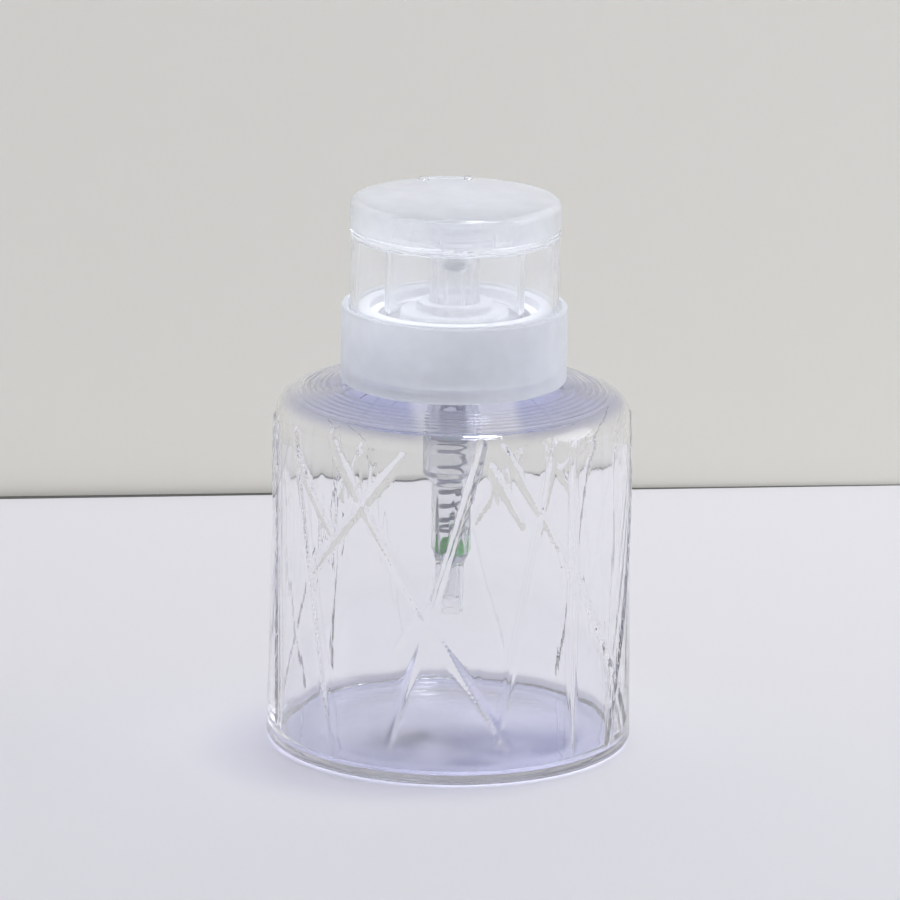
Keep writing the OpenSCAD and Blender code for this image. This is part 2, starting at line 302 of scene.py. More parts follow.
def fade(value, start, end):
    """0 at start, 1 at end, and a smooth step between them: 3t² - 2t³."""
    share = np.clip((value - start) / (end - start), 0, 1)
    return share * share * (3 - 2 * share)


def slab(outline, start, end, edge):
    """An outline of [y, z] points drawn out along x from start to end.

    Its edges are rounded: near each end the outline shrinks towards its middle, by up to edge.
    """
    middle = outline.mean(0)
    reach = np.hypot(*(outline - middle).T).mean()
    rows = []
    for x, inset in ((start, edge), (start + 0.3 * edge, 0.3 * edge), (start + edge, 0),
                     (end - edge, 0), (end - 0.3 * edge, 0.3 * edge), (end, edge)):
        flat = middle + (outline - middle) * (1 - inset / reach)
        rows.append(np.column_stack([np.full(len(flat), x), flat]))
    return skin(np.array(rows))


def ball(centre_z, radius, columns=64, seam=0.0):
    """A ball on the axis: radius times the cosine and sine of the latitude, out and up.

    seam is the share by which a moulding seam at the equator stands out. Each pole is a fan's middle.
    """
    latitude = np.radians(np.linspace(-87, 87, 49))
    seam_width = 0.03
    swell = 1 + seam * np.exp(-(latitude / seam_width) ** 2)
    outline = np.column_stack([radius * swell * np.cos(latitude), centre_z + radius * np.sin(latitude)])
    return skin(spun(outline, columns))


def thread_ridge(root, crest, start, pitch, turns, columns=96):
    """A ridge that climbs one pitch a turn, from radius root to crest, shrinking to nothing at both ends."""
    count = int(columns * turns)
    share = np.linspace(0, 1, count)
    angle = TAU * turns * share
    taper = fade(share, 0, 0.06) * fade(share, 1, 0.94)
    outward = np.column_stack([np.cos(angle), np.sin(angle), np.zeros(count)])
    path = outward * root + np.column_stack([0 * angle, 0 * angle, start + pitch * angle / TAU])
    section = rounded([(0, -0.75, 0), (1, -0.4, 0.25), (1, 0.4, 0.25), (0, 0.75, 0)], steps=3)
    height = (crest - root) * (0.15 + 0.85 * taper)[:, None]
    return skin(swept(path, outward * height, np.tile([0.0, 0, 1], (count, 1)), section))


# ---------------- materials

def add(tree, kind, values=None, **settings):
    """Adds a node. settings are its own properties, and values are its inputs.

    Each value is a constant or another node's output.
    """
    made = tree.nodes.new(kind)
    for key, value in settings.items():
        setattr(made, key, value)
    for key, value in (values or {}).items():
        if isinstance(value, bpy.types.NodeSocket):
            tree.links.new(value, made.inputs[key])
        else:
            made.inputs[key].default_value = value
    return made


def rgba(colour):
    """A linear colour with an alpha of 1."""
    return (*tuple(colour)[:3], 1)


def noise(tree, place, size_mm, detail):
    """Noise from 0 to 1, in clouds about size_mm across."""
    return add(tree, "ShaderNodeTexNoise", {
        "Vector": place, "Scale": 1 / (size_mm * MM), "Detail": detail}).outputs["Fac"]


def ramp(tree, value, start=0.0, end=1.0, first=0.0, last=1.0, kind="LINEAR"):
    """Goes from first, where value is start, to last, where value is end, and no further."""
    return add(tree, "ShaderNodeMapRange", {
        "Value": value, "From Min": start, "From Max": end, "To Min": first, "To Max": last},
        interpolation_type=kind).outputs[0]


def combine(tree, operation, *values):
    """Takes values through a sum, product or comparison, from left to right."""
    result = values[0]
    for value in values[1:]:
        result = add(tree, "ShaderNodeMath", {0: result, 1: value}, operation=operation).outputs[0]
    return result


def bump(tree, height, depth_mm, strength):
    """A normal that leans as if height, from 0 to 1, stood out of the surface by depth_mm."""
    return add(tree, "ShaderNodeBump", {
        "Height": height, "Strength": strength, "Distance": depth_mm * MM}).outputs[0]


def new_material(name):
    """A new material, its empty node tree and the place on the object."""
    made = bpy.data.materials.new(name)
    made.use_nodes = True
    made.node_tree.nodes.clear()
    return made, made.node_tree, add(made.node_tree, "ShaderNodeTexCoord").outputs["Object"]


def show(tree, surface, passed=None):
    """Ends a material's tree with its surface.

    With a colour in passed, lamps' rays go straight through, as through a thin wall, and take it on.
    """
    if passed:
        lamp = add(tree, "ShaderNodeBsdfTransparent", {"Color": rgba(passed)})
        ray = add(tree, "ShaderNodeLightPath").outputs["Is Shadow Ray"]
        surface = add(tree, "ShaderNodeMixShader", {0: ray, 1: surface.outputs[0], 2: lamp.outputs[0]})
    output = add(tree, "ShaderNodeOutputMaterial")
    tree.links.new(surface.outputs[0], output.inputs["Surface"])


def blown_pet(name, finish):
    """PET, stretch-blown in a polished mould.

    Clear and glossy, IOR 1.57. The blow leaves the wall slightly streaky from top to bottom, which
    bends what is seen through it. Its violet-blue at the shoulder and the base is partly the PET's
    toner, where the plastic is thick, and partly painted shade, laid on the tab's side.
    """
    made, tree, place = new_material(name)
    axes = add(tree, "ShaderNodeSeparateXYZ", {"Vector": place}).outputs
    height = axes["Z"]
    side = add(tree, "ShaderNodeMath", {0: axes["X"]}, operation="ABSOLUTE").outputs[0]
    flat = add(tree, "ShaderNodeVectorMath", {0: place, 1: (1, 1, 0)}, operation="MULTIPLY").outputs[0]
    radius = add(tree, "ShaderNodeVectorMath", {0: flat}, operation="LENGTH").outputs["Value"]
    # The violet is partly toner and partly painted shade, painted strongest on the tab's side and nearly
    # gone at the back. In the shoulder, which ends at the neck, it is painted weaker right under the tab,
    # as painted light from the white collar seen through it.
    near = ramp(tree, axes["Y"], start=12 * MM, end=-12 * MM, first=0.15, kind="SMOOTHSTEP")
    middle = ramp(tree, side, start=8.5 * MM, end=10.5 * MM, first=0.45)
    shoulder = ramp(tree, height, start=63.5 * MM, end=66.2 * MM, kind="SMOOTHSTEP")
    neck = ramp(tree, height, start=72 * MM, end=70 * MM, kind="SMOOTHSTEP")
    ring = combine(tree, "MULTIPLY", shoulder, neck, combine(tree, "MULTIPLY", near, middle))
    # In the base it fills the thick disc, unevenly, in clouds 14 mm across, and edges the foot. There
    # it is partly toner and partly painted shade: the bottle's shadow seen through the base, and a dark
    # edge painted along the foot.
    base = ramp(tree, radius, start=30 * MM, end=25 * MM, kind="SMOOTHSTEP")
    floor = combine(tree, "LESS_THAN", height, 10 * MM)
    uneven = ramp(tree, noise(tree, place, size_mm=14, detail=2.0), start=0.35, end=0.6, first=0.7)
    base_disc_toner_and_shade = combine(tree, "MULTIPLY", base, floor, near, uneven)
    rim = ramp(tree, height, start=3 * MM, end=1.5 * MM, last=0.7)
    # The colour below the shoulder: toner with painted shade in the base and along the foot.
    lower_toner_and_shade = add(tree, "ShaderNodeMix", {
        "Factor": combine(tree, "MAXIMUM", base_disc_toner_and_shade, rim), "A": rgba(linear("FEFEFF")),
        "B": rgba(finish.base_toner_and_shade)}, data_type="RGBA")
    # The shoulder's colour: toner with painted shade on the tab's side and painted light under the tab.
    toner_and_shade = add(tree, "ShaderNodeMix", {
        "Factor": ring, "A": lower_toner_and_shade.outputs["Result"], "B": rgba(finish.shoulder_toner_and_shade)},
        data_type="RGBA")
    # Streaks 3 mm wide and 30 mm long, down the wall.
    slim = add(tree, "ShaderNodeMapping", {"Vector": place, "Scale": (1 / 3, 1 / 3, 1 / 30)}).outputs[0]
    streak = noise(tree, slim, size_mm=1, detail=3.0)
    glass = add(tree, "ShaderNodeBsdfPrincipled", {
        "Base Color": toner_and_shade.outputs["Result"], "Roughness": 0.015, "IOR": 1.57,
        "Transmission Weight": 1.0, "Normal": bump(tree, streak, depth_mm=0.012, strength=1.0)})
    show(tree, glass, passed=linear("F4F4F8"))
    return made


def moulded_pp(name, body, haze, edge_haze, roughness, passed, thick_haze=0.0):
    """Natural polypropylene, injection moulded.

    Milky and see-through, IOR 1.49: a share of the light, haze, scatters in the wall, and more of it,
    edge_haze, where the wall is seen edge-on. Flow marks vary the haze over about 5 mm. The mould's
    fine finish blurs what is behind. body is the colour of the light that the haze scatters, and
    passed is the share of a lamp's light that goes through. thick_haze is added between z = 52 and
    73 mm, where the chamber's wall is thicker.
    """
    made, tree, place = new_material(name)
    grain = noise(tree, place, size_mm=0.6, detail=2.0)
    normal = bump(tree, grain, depth_mm=0.004, strength=0.4)
    facing = add(tree, "ShaderNodeLayerWeight", {"Blend": 0.35}).outputs["Facing"]
    dense = ramp(tree, facing, start=0.1, first=haze, last=edge_haze)
    height = add(tree, "ShaderNodeSeparateXYZ", {"Vector": place}).outputs["Z"]
    thick = ramp(tree, height, start=47 * MM, end=57 * MM, last=thick_haze)
    cup = ramp(tree, height, start=73.5 * MM, end=72 * MM)
    total = combine(tree, "ADD", dense, combine(tree, "MULTIPLY", thick, cup))
    flow = noise(tree, place, size_mm=5, detail=3.0)
    marks = ramp(tree, flow, start=0.3, end=0.7, first=0.95, last=1.05)
    share = combine(tree, "MULTIPLY", total, marks)
    clear = add(tree, "ShaderNodeBsdfPrincipled", {
        "Base Color": (1, 1, 1, 1), "Roughness": roughness, "IOR": 1.49,
        "Transmission Weight": 1.0, "Normal": normal})
    # Of the scattered light, four tenths goes on through the wall and the rest comes back.
    front = add(tree, "ShaderNodeBsdfDiffuse", {"Color": rgba(body), "Normal": normal})
    back = add(tree, "ShaderNodeBsdfTranslucent", {"Color": rgba(body), "Normal": normal})
    milk = add(tree, "ShaderNodeMixShader", {0: 0.4, 1: front.outputs[0], 2: back.outputs[0]})
    wall = add(tree, "ShaderNodeMixShader", {0: share, 1: clear.outputs[0], 2: milk.outputs[0]})
    show(tree, wall, passed=(passed, passed, passed))
    return made


def soft_solid(name, colour, roughness, grain_mm, depth_mm, subsurface=0.0):
    """An opaque moulded or foamed plastic. A grain varies its colour slightly and roughens it."""
    made, tree, place = new_material(name)
    grain = noise(tree, place, size_mm=grain_mm, detail=4.0)
    shade = add(tree, "ShaderNodeMix", {
        "Factor": grain, "A": rgba([0.9 * c for c in colour]), "B": rgba(colour)}, data_type="RGBA")
    show(tree, add(tree, "ShaderNodeBsdfPrincipled", {
        "Base Color": shade.outputs["Result"], "Roughness": roughness, "IOR": 1.5,
        "Subsurface Weight": subsurface, "Subsurface Scale": 1 * MM,
        "Normal": bump(tree, grain, depth_mm, strength=0.6)}))
    return made


def bright_metal(name, colour, roughness, line_mm, depth_mm):
    """Stainless steel, drawn or polished: fine lines along the surface spread its highlights."""
    made, tree, place = new_material(name)
    lines = noise(tree, place, size_mm=line_mm, detail=3.0)
    rough = ramp(tree, lines, first=0.7 * roughness, last=1.3 * roughness)
    show(tree, add(tree, "ShaderNodeBsdfPrincipled", {
        "Base Color": rgba(colour), "Metallic": 1.0, "Roughness": rough,
        "Normal": bump(tree, lines, depth_mm, strength=0.5)}))
    return made


def matte_board(name, colour, grain_mm, depth_mm, one_sided=False):
    """Painted or papered board: matte, with a fine grain. One-sided, it can't be seen from behind."""
    made, tree, place = new_material(name)
    grain = noise(tree, place, size_mm=grain_mm, detail=4.0)
    surface = add(tree, "ShaderNodeBsdfPrincipled", {
        "Base Color": rgba(colour), "Roughness": 0.75,
        "Normal": bump(tree, grain, depth_mm, strength=0.3)})
    if one_sided:
        behind = add(tree, "ShaderNodeNewGeometry").outputs["Backfacing"]
        surface = add(tree, "ShaderNodeMixShader", {
            0: behind, 1: surface.outputs[0], 2: add(tree, "ShaderNodeBsdfTransparent").outputs[0]})
    show(tree, surface)
    return made


def finish_named(name):
    """The material of that name, made the first time that it is asked for."""
    finish = bpy.context.scene.pump_bottle.finish
    milky = {
        "clear_moulded_pp": dict(haze=0.06, edge_haze=0.4, roughness=0.04, passed=0.98),
        "milky_moulded_pp": dict(haze=0.5, edge_haze=0.7, roughness=0.06, passed=0.99),
        "lid_moulded_pp": dict(haze=0.24, edge_haze=0.55, roughness=0.06, passed=0.98),
        "thin_moulded_pp": dict(haze=0.07, edge_haze=0.25, roughness=0.02, passed=0.99, thick_haze=0.14),
        "extruded_pe": dict(haze=0.06, edge_haze=0.25, roughness=0.05, passed=0.94),
    }
    finishes = {
        "blown_pet": (blown_pet, dict(finish=finish)),
        "piston_ldpe": (soft_solid, dict(
            colour=linear("F8F9FC"), roughness=0.4, grain_mm=1.0, depth_mm=0.01, subsurface=0.3)),
        "foamed_pe": (soft_solid, dict(
            colour=linear("F0F0F2"), roughness=0.8, grain_mm=0.25, depth_mm=0.05)),
        "green_moulded_pp": (soft_solid, dict(
            colour=finish.ball_green, roughness=0.3, grain_mm=0.8, depth_mm=0.01, subsurface=0.1)),
        "drawn_wire": (bright_metal, dict(
            colour=finish.wire, roughness=0.3, line_mm=0.15, depth_mm=0.01)),
        "polished_steel": (bright_metal, dict(
            colour=linear("C9CACC"), roughness=0.08, line_mm=1.5, depth_mm=0.002)),
        **{key: (moulded_pp, dict(body=finish.pp_body, **values)) for key, values in milky.items()},
    }
    make, values = finishes[name]
    return bpy.data.materials.get(name) or make(name, **values)


# ---------------- bottle

# Ribs that cross on the wall of one half, as angle and height at the top and at the foot.
RIBS = (
    (-49, 64.0, 13, 7), (-22, 61.5, -56, 37), (-66, 58.5, -46, 44.5), (-67, 62, -45, 4),
    (3.5, 64.0, -25, 7), (6, 60, 17, 49), (10, 63.5, 69, 6), (28.5, 63.5, 9, 8),
    (36.5, 62.5, 36.5, 5), (88, 62, 54, 4), (-84, 61, -76, 6),
)
SHOULDER_SLOPE = np.tan(np.radians(14))


def rib_rise(angle, height, radius):
    """How far the ribs stand out, from 0 to 1, at each angle and height.

    Each rib is a straight line on the unrolled wall. At distance d from it, the rise is
    (1 - (d / half width)²)² inside the half width, and the highest rib wins where they cross.
    """
    half = bpy.context.scene.pump_bottle.bottle.rib_width / MM / 2
    rise = np.zeros_like(height)
    for turn in (0, 180):
        for top_angle, top, foot_angle, foot in RIBS:
            start = np.radians(top_angle + turn)
            away = (angle - start + np.pi) % TAU - np.pi
            side, drop = away * radius, height - top
            run_side, run_drop = np.radians(foot_angle - top_angle) * radius, foot - top
            share = np.clip((side * run_side + drop * run_drop) / (run_side ** 2 + run_drop ** 2), 0, 1)
            gap = np.hypot(side - share * run_side, drop - share * run_drop)
            rise = np.maximum(rise, np.clip(1 - (gap / half) ** 2, 0, 1) ** 2)
    return rise


def wall_wave(angle, height):
    """A slow swelling of the wall, from about -1 to 1: a sum of sines of the angle and the height."""
    waves = ((7, 0.05, 0.3), (11, -0.13, 1.7), (17, 0.09, 4.1), (23, -0.21, 2.6), (5, 0.33, 5.2))
    total = sum(np.sin(count * angle + rate * height + start) for count, rate, start in waves)
    return total / len(waves) * 2


class PUMPBOTTLE_OT_bottle(bpy.types.Operator):
    """Build the clear bottle with its crossing ribs, ringed shoulder, neck thread and thick base"""

    bl_idname = "pump_bottle.bottle"
    bl_label = "Bottle"

    def execute(self, context):
        settings = context.scene.pump_bottle.bottle
        wall_top = BOTTLE_R - 1.2
        arc_z = NECK - 17.3
        shoulder_arc, foot_arc, neck_r, bore_r = 3.9, 1.5, 15.5, 14.2
        wall, foot_wall, base, heel = 1.1, 1.9, 1.4, 2.0
        slope = np.degrees(np.arctan(SHOULDER_SLOPE))
        edge_z = arc_z + shoulder_arc * np.cos(np.radians(slope))
        edge_r = wall_top - shoulder_arc + shoulder_arc * np.sin(np.radians(slope))
        # Shoulder: a slope with six fine grooves, each a rounded dip one step from the next.
        step, groove_half, groove_depth = 1.2, 0.28, 0.14
        shoulder_r = np.linspace(edge_r, neck_r + 0.6, 46)[1:]
        place = (edge_r - 1 - shoulder_r) / step
        groove = np.exp(-(((place + 0.5) % 1 - 0.5) * step / groove_half) ** 2)
        groove = groove * ((place > -0.4) & (place < 5.5))
        shoulder_z = edge_z + (edge_r - shoulder_r) * SHOULDER_SLOPE - groove_depth * groove
        # The underside is a shallow punt, and the floor inside rises a little towards the middle.
        punt_edge, punt_rise, floor_rise = 28.5, 1.1, 0.8
        punt_r = np.linspace(1.5, punt_edge, 6)
        foot_in = BOTTLE_R - foot_wall
        floor_r = np.linspace(26, 1.5, 5)
        outer = np.vstack([
            np.column_stack([punt_r, punt_rise * (1 - (punt_r / punt_edge) ** 2)]),
            arc(BOTTLE_R - foot_arc, foot_arc, foot_arc, -90, 0, 6),
            run((BOTTLE_R, foot_arc), (wall_top, arc_z), 70)[1:],
            arc(wall_top - shoulder_arc, arc_z, shoulder_arc, 0, 90 - slope, 9),
            np.column_stack([shoulder_r, shoulder_z]),
            arc(neck_r + 0.5, shoulder_z[-1] + 0.6, 0.5, 240, 180, 3),
            arc(neck_r - 0.4, NECK - 0.4, 0.4, 0, 90, 3)])
        inner = np.vstack([
            arc(bore_r + 0.3, NECK - 0.3, 0.3, 90, 180, 3),
            [[bore_r, 67.6], [bore_r + 0.2, 67.1]],
            arc(wall_top - shoulder_arc, arc_z, shoulder_arc - wall, 80, 0, 6),
            run((wall_top - wall, arc_z), (foot_in, base + heel), 14)[1:],
            arc(foot_in - heel, base + heel, heel, 0, -90, 6),
            np.column_stack([floor_r, base + floor_rise * (1 - (floor_r / (foot_in - heel)) ** 2)])])
        outline = np.vstack([outer, inner])
        is_outer = (np.arange(len(outline)) < len(outer))[:, None]

        def shape(radius, height, angle):
            """Raises the ribs outside, sinks them a quarter as deep inside, and swells both walls."""
            ribs = rib_rise(angle, height, BOTTLE_R) * fade(radius, 27, 30) * settings.rib_height / MM
            wave = wall_wave(angle, height) * settings.wave_height / MM
            wave *= fade(height, 3, 9) * fade(height, 64, 58) * fade(radius, 29, 31)
            return radius + np.where(is_outer, ribs + 0.25 * wave, wave - 0.25 * ribs)

        body = skin(spun(outline, settings.columns, shape))
        thread = thread_ridge(15.3, 16.4, NECK - 6.8, 3.2, 1.25)
        piece("clear_bottle", [body, thread], "bottle", ["bottle"], "blown_pet")
        return {"FINISHED"}


# ---------------- collar

class PUMPBOTTLE_OT_collar(bpy.types.Operator):
    """Build the screw collar with its threaded socket and slot, and the washer under the pump"""

    bl_idname = "pump_bottle.collar"
    bl_label = "Screw collar"

    def execute(self, context):
        # An outer wall and a socket, with a slot between them that the head's skirt goes down.
        slot_r, socket_r, hole_r, inside = COLLAR_R - 1.15, 17.9, 15.6, 16.75
        web, under, roof = COLLAR_FOOT + 2.6, NECK - 9.71, NECK + 1.63
        body = turned([
            (COLLAR_R, COLLAR_FOOT, 0.5), (COLLAR_R, COLLAR_TOP, 0.4), (slot_r, COLLAR_TOP, 0.3),
            (slot_r, web, 0.5), (socket_r, web, 0.5), (socket_r, COLLAR_TOP, 0.3),
            (hole_r, COLLAR_TOP, 0.3), (hole_r, roof, 0.15), (inside, roof, 0.3), (inside, under, 0.3)],
            256)
        thread = thread_ridge(16.95, 15.8, NECK - 8.4, 3.2, 1.25)
        piece("threaded_collar", [body, thread], "collar", ["screw_collar"], "milky_moulded_pp")
        inner, outer, foot, top = 14.3, 16.3, NECK + 0.02, NECK + 0.78
        washer = turned([
            (inner, foot, 0.12), (outer, foot, 0.12), (outer, top, 0.12), (inner, top, 0.12)], 128)
        piece("foam_washer", [washer], "pump", ["neck_gasket"], "foamed_pe")
        return {"FINISHED"}


# ---------------- pump

class PUMPBOTTLE_OT_chamber(bpy.types.Operator):
    """Build the pump chamber: flange, cup, tower, cylinder, spring barrel with its ball cage, and spigot"""

    bl_idname = "pump_bottle.chamber"
    bl_label = "Pump chamber"

    def execute(self, context):
        flange = NECK + 0.8
        foot, seat, spigot = NECK - 28, NECK - 45.7, NECK - 46.4
        cage_foot, cage_top = seat + 1.7, NECK - 40.5
        spigot_foot, tower_top, under = spigot - 6.4, NECK + 1.5, CUP_FLOOR - 0.8
        # Radii, outside and inside, of the cup, the tower, the cylinder and the spring's barrel.
        flange_r, cup_r, cup_in, tower_r, tower_in = 16.5, 14.0, 13.2, 6.4, 4.95
        cylinder_r, bore_r, barrel_r, cage_r, duct_r = 5.3, 4.4, 3.8, 3.1, 0.95
        corners = [
            (cup_r, flange, 0.3), (flange_r, flange, 0.2), (flange_r, flange + 0.8, 0.25),
            (cup_in, flange + 0.8, 0.3), (cup_in, CUP_FLOOR, 0.5), (tower_r, CUP_FLOOR, 0.4),
            (tower_r, tower_top, 0.25), (tower_in, tower_top, 0.2), (tower_in, CUP_FLOOR, 0.1),
            (bore_r, CUP_FLOOR, 0.1), (bore_r, foot, 0.5), (cage_r, NECK - 29.8, 0.5),
            (cage_r, cage_top + 0.2, 0), (cage_r, cage_top, 0), (cage_r, cage_foot, 0),
            (cage_r, seat + 1.65, 0.2), (1.4, seat, 0.1), (1.4, seat - 0.6, 0.1), (duct_r, seat - 1, 0.1),
            (duct_r, spigot_foot, 0.1), (1.55, spigot_foot, 0.15), (1.65, spigot, 0.1), (2.5, spigot, 0.1),
            (2.55, spigot + 0.25, 0.1), (barrel_r, spigot + 3, 0.4), (barrel_r, NECK - 31, 0.5),
            (cylinder_r, NECK - 29, 0.5), (cylinder_r, under, 0.4), (cup_r, under, 0.8)]

        ribs, arm, rib_half, rib_depth = 6, 3, 0.3, 0.55

        def cage(radius, height, angle):
            """Raises ribs inside the ball's cage: depth times exp(-(distance / half width)⁴).

            The distance from a rib's middle is taken round a circle of radius arm.
            """
            away = ((angle * ribs / TAU + 0.5) % 1 - 0.5) * TAU / ribs * arm
            rib = np.exp(-(away / rib_half) ** 4)
            at_wall = (radius < cage_r + 0.05) & (radius > cage_r - 0.1)
            inside = at_wall & (height > cage_foot - 0.01) & (height < cage_top + 0.01)
            return np.where(inside, radius - rib_depth * rib, radius)

        body = turned(corners, 192, cage)
        piece("chamber_moulding", [body], "pump", ["pump_chamber"], "thin_moulded_pp")
        return {"FINISHED"}


class PUMPBOTTLE_OT_guides(bpy.types.Operator):
    """Build the cap that guides the head's socket, and the bush that the rod runs through"""

    bl_idname = "pump_bottle.guides"
    bl_label = "Stem guide and stop bush"

    def execute(self, context):
        plate = NECK + 1.53
        boss = NECK + 4.2
        hole, ring_in, ring_r, skirt_in, skirt_r, boss_r = 4.68, 6.44, 7.25, 9.2, 10.05, 7.0
        ring_foot, skirt_foot, top = plate - 3.4, plate - 6.3, plate + 1
        guide = turned([
            (hole, plate, 0.15), (ring_in, plate, 0.1), (ring_in, ring_foot, 0.15), (ring_r, ring_foot, 0.15),
            (ring_r, plate, 0.3), (skirt_in, plate, 0.3), (skirt_in, skirt_foot, 0.2),
            (skirt_r, skirt_foot, 0.2), (skirt_r, top, 0.45), (boss_r, top, 0.4), (boss_r, boss, 0.6),
            (hole, boss, 0.35)], 160)
        piece("guide_cap", [guide], "pump", ["stem_guide"], "lid_moulded_pp")
        rod_hole, bush_r, lip_r = 2.68, 4.38, 4.9
        foot, ledge, lip = CUP_FLOOR - 6.6, CUP_FLOOR + 0.02, CUP_FLOOR + 0.4
        bush = turned([
            (rod_hole, foot, 0.2), (3.8, foot, 0.2), (bush_r, CUP_FLOOR - 6, 0.2), (bush_r, ledge, 0.05),
            (lip_r, ledge, 0.05), (lip_r, lip, 0.15), (rod_hole, lip, 0.15)], 96)
        piece("rod_bush", [bush], "pump", ["stop_bush"], "milky_moulded_pp")
        return {"FINISHED"}


class PUMPBOTTLE_OT_tube(bpy.types.Operator):
    """Build the suction tube, which swells a little where the spigot fills it"""

    bl_idname = "pump_bottle.tube"
    bl_label = "Suction tube"

    def execute(self, context):
        top, end = high("suction_tube").z, low("suction_tube").z
        swell = top - 6.4
        bore, outside, swollen = 1.67, 2.3, 2.38
        tube = turned([
            (bore, end, 0.2), (outside, end, 0.25), (outside, swell, 0.5), (swollen, swell + 0.8, 0.5),
            (swollen, top, 0.25), (bore, top, 0.2)], 96)
        piece("dip_tube", [tube], "pump", ["suction_tube"], "extruded_pe")
        return {"FINISHED"}


class PUMPBOTTLE_OT_balls(bpy.types.Operator):
    """Build the green inlet ball and the steel outlet ball"""

    bl_idname = "pump_bottle.balls"
    bl_label = "Check balls"

    def execute(self, context):
        for name, node, slot, material, seam in (
                ("green_check_ball", "inlet_ball", "green_ball", "green_moulded_pp", 0.012),
                ("steel_check_ball", "outlet_ball", "ball_steel", "polished_steel", 0.0)):
            middle = (low(node).z + high(node).z) / 2
            radius = (high(node).z - low(node).z) / 2
            piece(name, [ball(middle, radius, seam=seam)], node, [node], material)
        return {"FINISHED"}


class PUMPBOTTLE_OT_spring(bpy.types.Operator):
    """Build the return spring: a round wire carried along a helix with closed ends"""

    bl_idname = "pump_bottle.spring"
    bl_label = "Return spring"

    def execute(self, context):
        wire, coil, working = 0.7, 2.5, 7
        base, top = low("return_spring").z + wire / 2, high("return_spring").z - wire / 2
        turns = working + 2
        turn = np.linspace(0, turns, turns * 48 + 1)
        rise = (np.minimum(turn, 1) + np.clip(turn - 1 - working, 0, 1)) * wire
        rise += np.clip(turn - 1, 0, working) * (top - base - 2 * wire) / working
        angle = TAU * turn
        outward = np.column_stack([np.cos(angle), np.sin(angle), 0 * angle])
        path = coil * outward + np.column_stack([0 * angle, 0 * angle, base + rise])
        section = arc(0, 0, wire / 2, 0, 337.5, 16)
        rows = swept(path, outward, np.tile([0.0, 0, 1], (len(path), 1)), section)
        coil_spring = piece("coil_spring", [skin(rows)], "pump", ["return_spring"],
                            "drawn_wire")
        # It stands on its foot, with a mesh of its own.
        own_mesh(coil_spring)
        return {"FINISHED"}


class PUMPBOTTLE_OT_piston(bpy.types.Operator):
    """Build the lip-seal piston and the hollow rod that carries it"""

    bl_idname = "pump_bottle.piston"
    bl_label = "Piston and stem"

    def execute(self, context):
        foot = NECK - 19.4
        z = foot + 0.7
        hole, dip, waist, lip = 2.62, 3.3, 3.9, 4.35
        lips = turned([
            (hole, z, 0.1), (dip, z, 0.15), (waist, z - 0.2, 0.1), (lip, z - 0.2, 0.08), (lip, z + 0.6, 0.2),
            (waist, z + 1.5, 0.5), (waist, z + 3.9, 0.5), (lip, z + 4.8, 0.2), (lip, z + 5.6, 0.08),
            (waist, z + 5.6, 0.1), (dip, z + 5.4, 0.15), (hole, z + 5.4, 0.1)], 96)
        piece("lip_piston", [lips], "head", ["piston"], "piston_ldpe")
        top = NECK + 14.2
        duct, knob, rod, plug, ball_room, shelf = 1.3, 3.1, 2.6, 3.28, 2.2, foot + 0.65
        stem = turned([
            (duct, foot, 0.15), (knob, foot, 0.2), (knob, shelf, 0.2), (rod, shelf, 0.1),
            (rod, NECK + 2.6, 0.5), (plug, NECK + 3.3, 0.5), (plug, top, 0.2), (ball_room, top, 0.2),
            (ball_room, NECK + 11.2, 0.3), (duct, NECK + 10.3, 0.1)], 96)
        piece("hollow_stem", [stem], "head", ["piston_stem"], "thin_moulded_pp")
        return {"FINISHED"}


# ---------------- head and lid

class PUMPBOTTLE_OT_outlet(bpy.types.Operator):
    """Build the slotted button that lets the liquid out into the dish"""

    bl_idname = "pump_bottle.outlet"
    bl_label = "Outlet cap"

    def execute(self, context):
        stub_foot, button, stub_r, button_r, stub_core = NECK + 14.1, NECK + 17.22, 2.28, 3.4, 1.5
        outline = rounded([
            (0.05, stub_foot, 0), (stub_r, stub_foot, 0.15), (stub_r, button, 0.1), (button_r, button, 0.15),
            (button_r, button + 1, 0.45), (1.0, button + 1, 0.4), (0.8, button + 0.85, 0.2),
            (0.05, button + 0.85, 0)], closed=False)

        def slots(radius, height, angle):
            """Cuts four slots down the stub: depth times exp(-(distance / half width)⁶)."""
            count, arm, half = 4, 2.2, 0.4
            near = np.exp(-((((angle * count / TAU + 0.5) % 1 - 0.5) * TAU / count * arm) / half) ** 6)
            stub = (radius > stub_core) & (height < button - 0.02)
            return np.where(stub, radius - near * (radius - stub_core), radius)

        piece("outlet_button", [skin(spun(outline, 128, slots))], "head", ["outlet_cap"],
              "milky_moulded_pp")
        return {"FINISHED"}


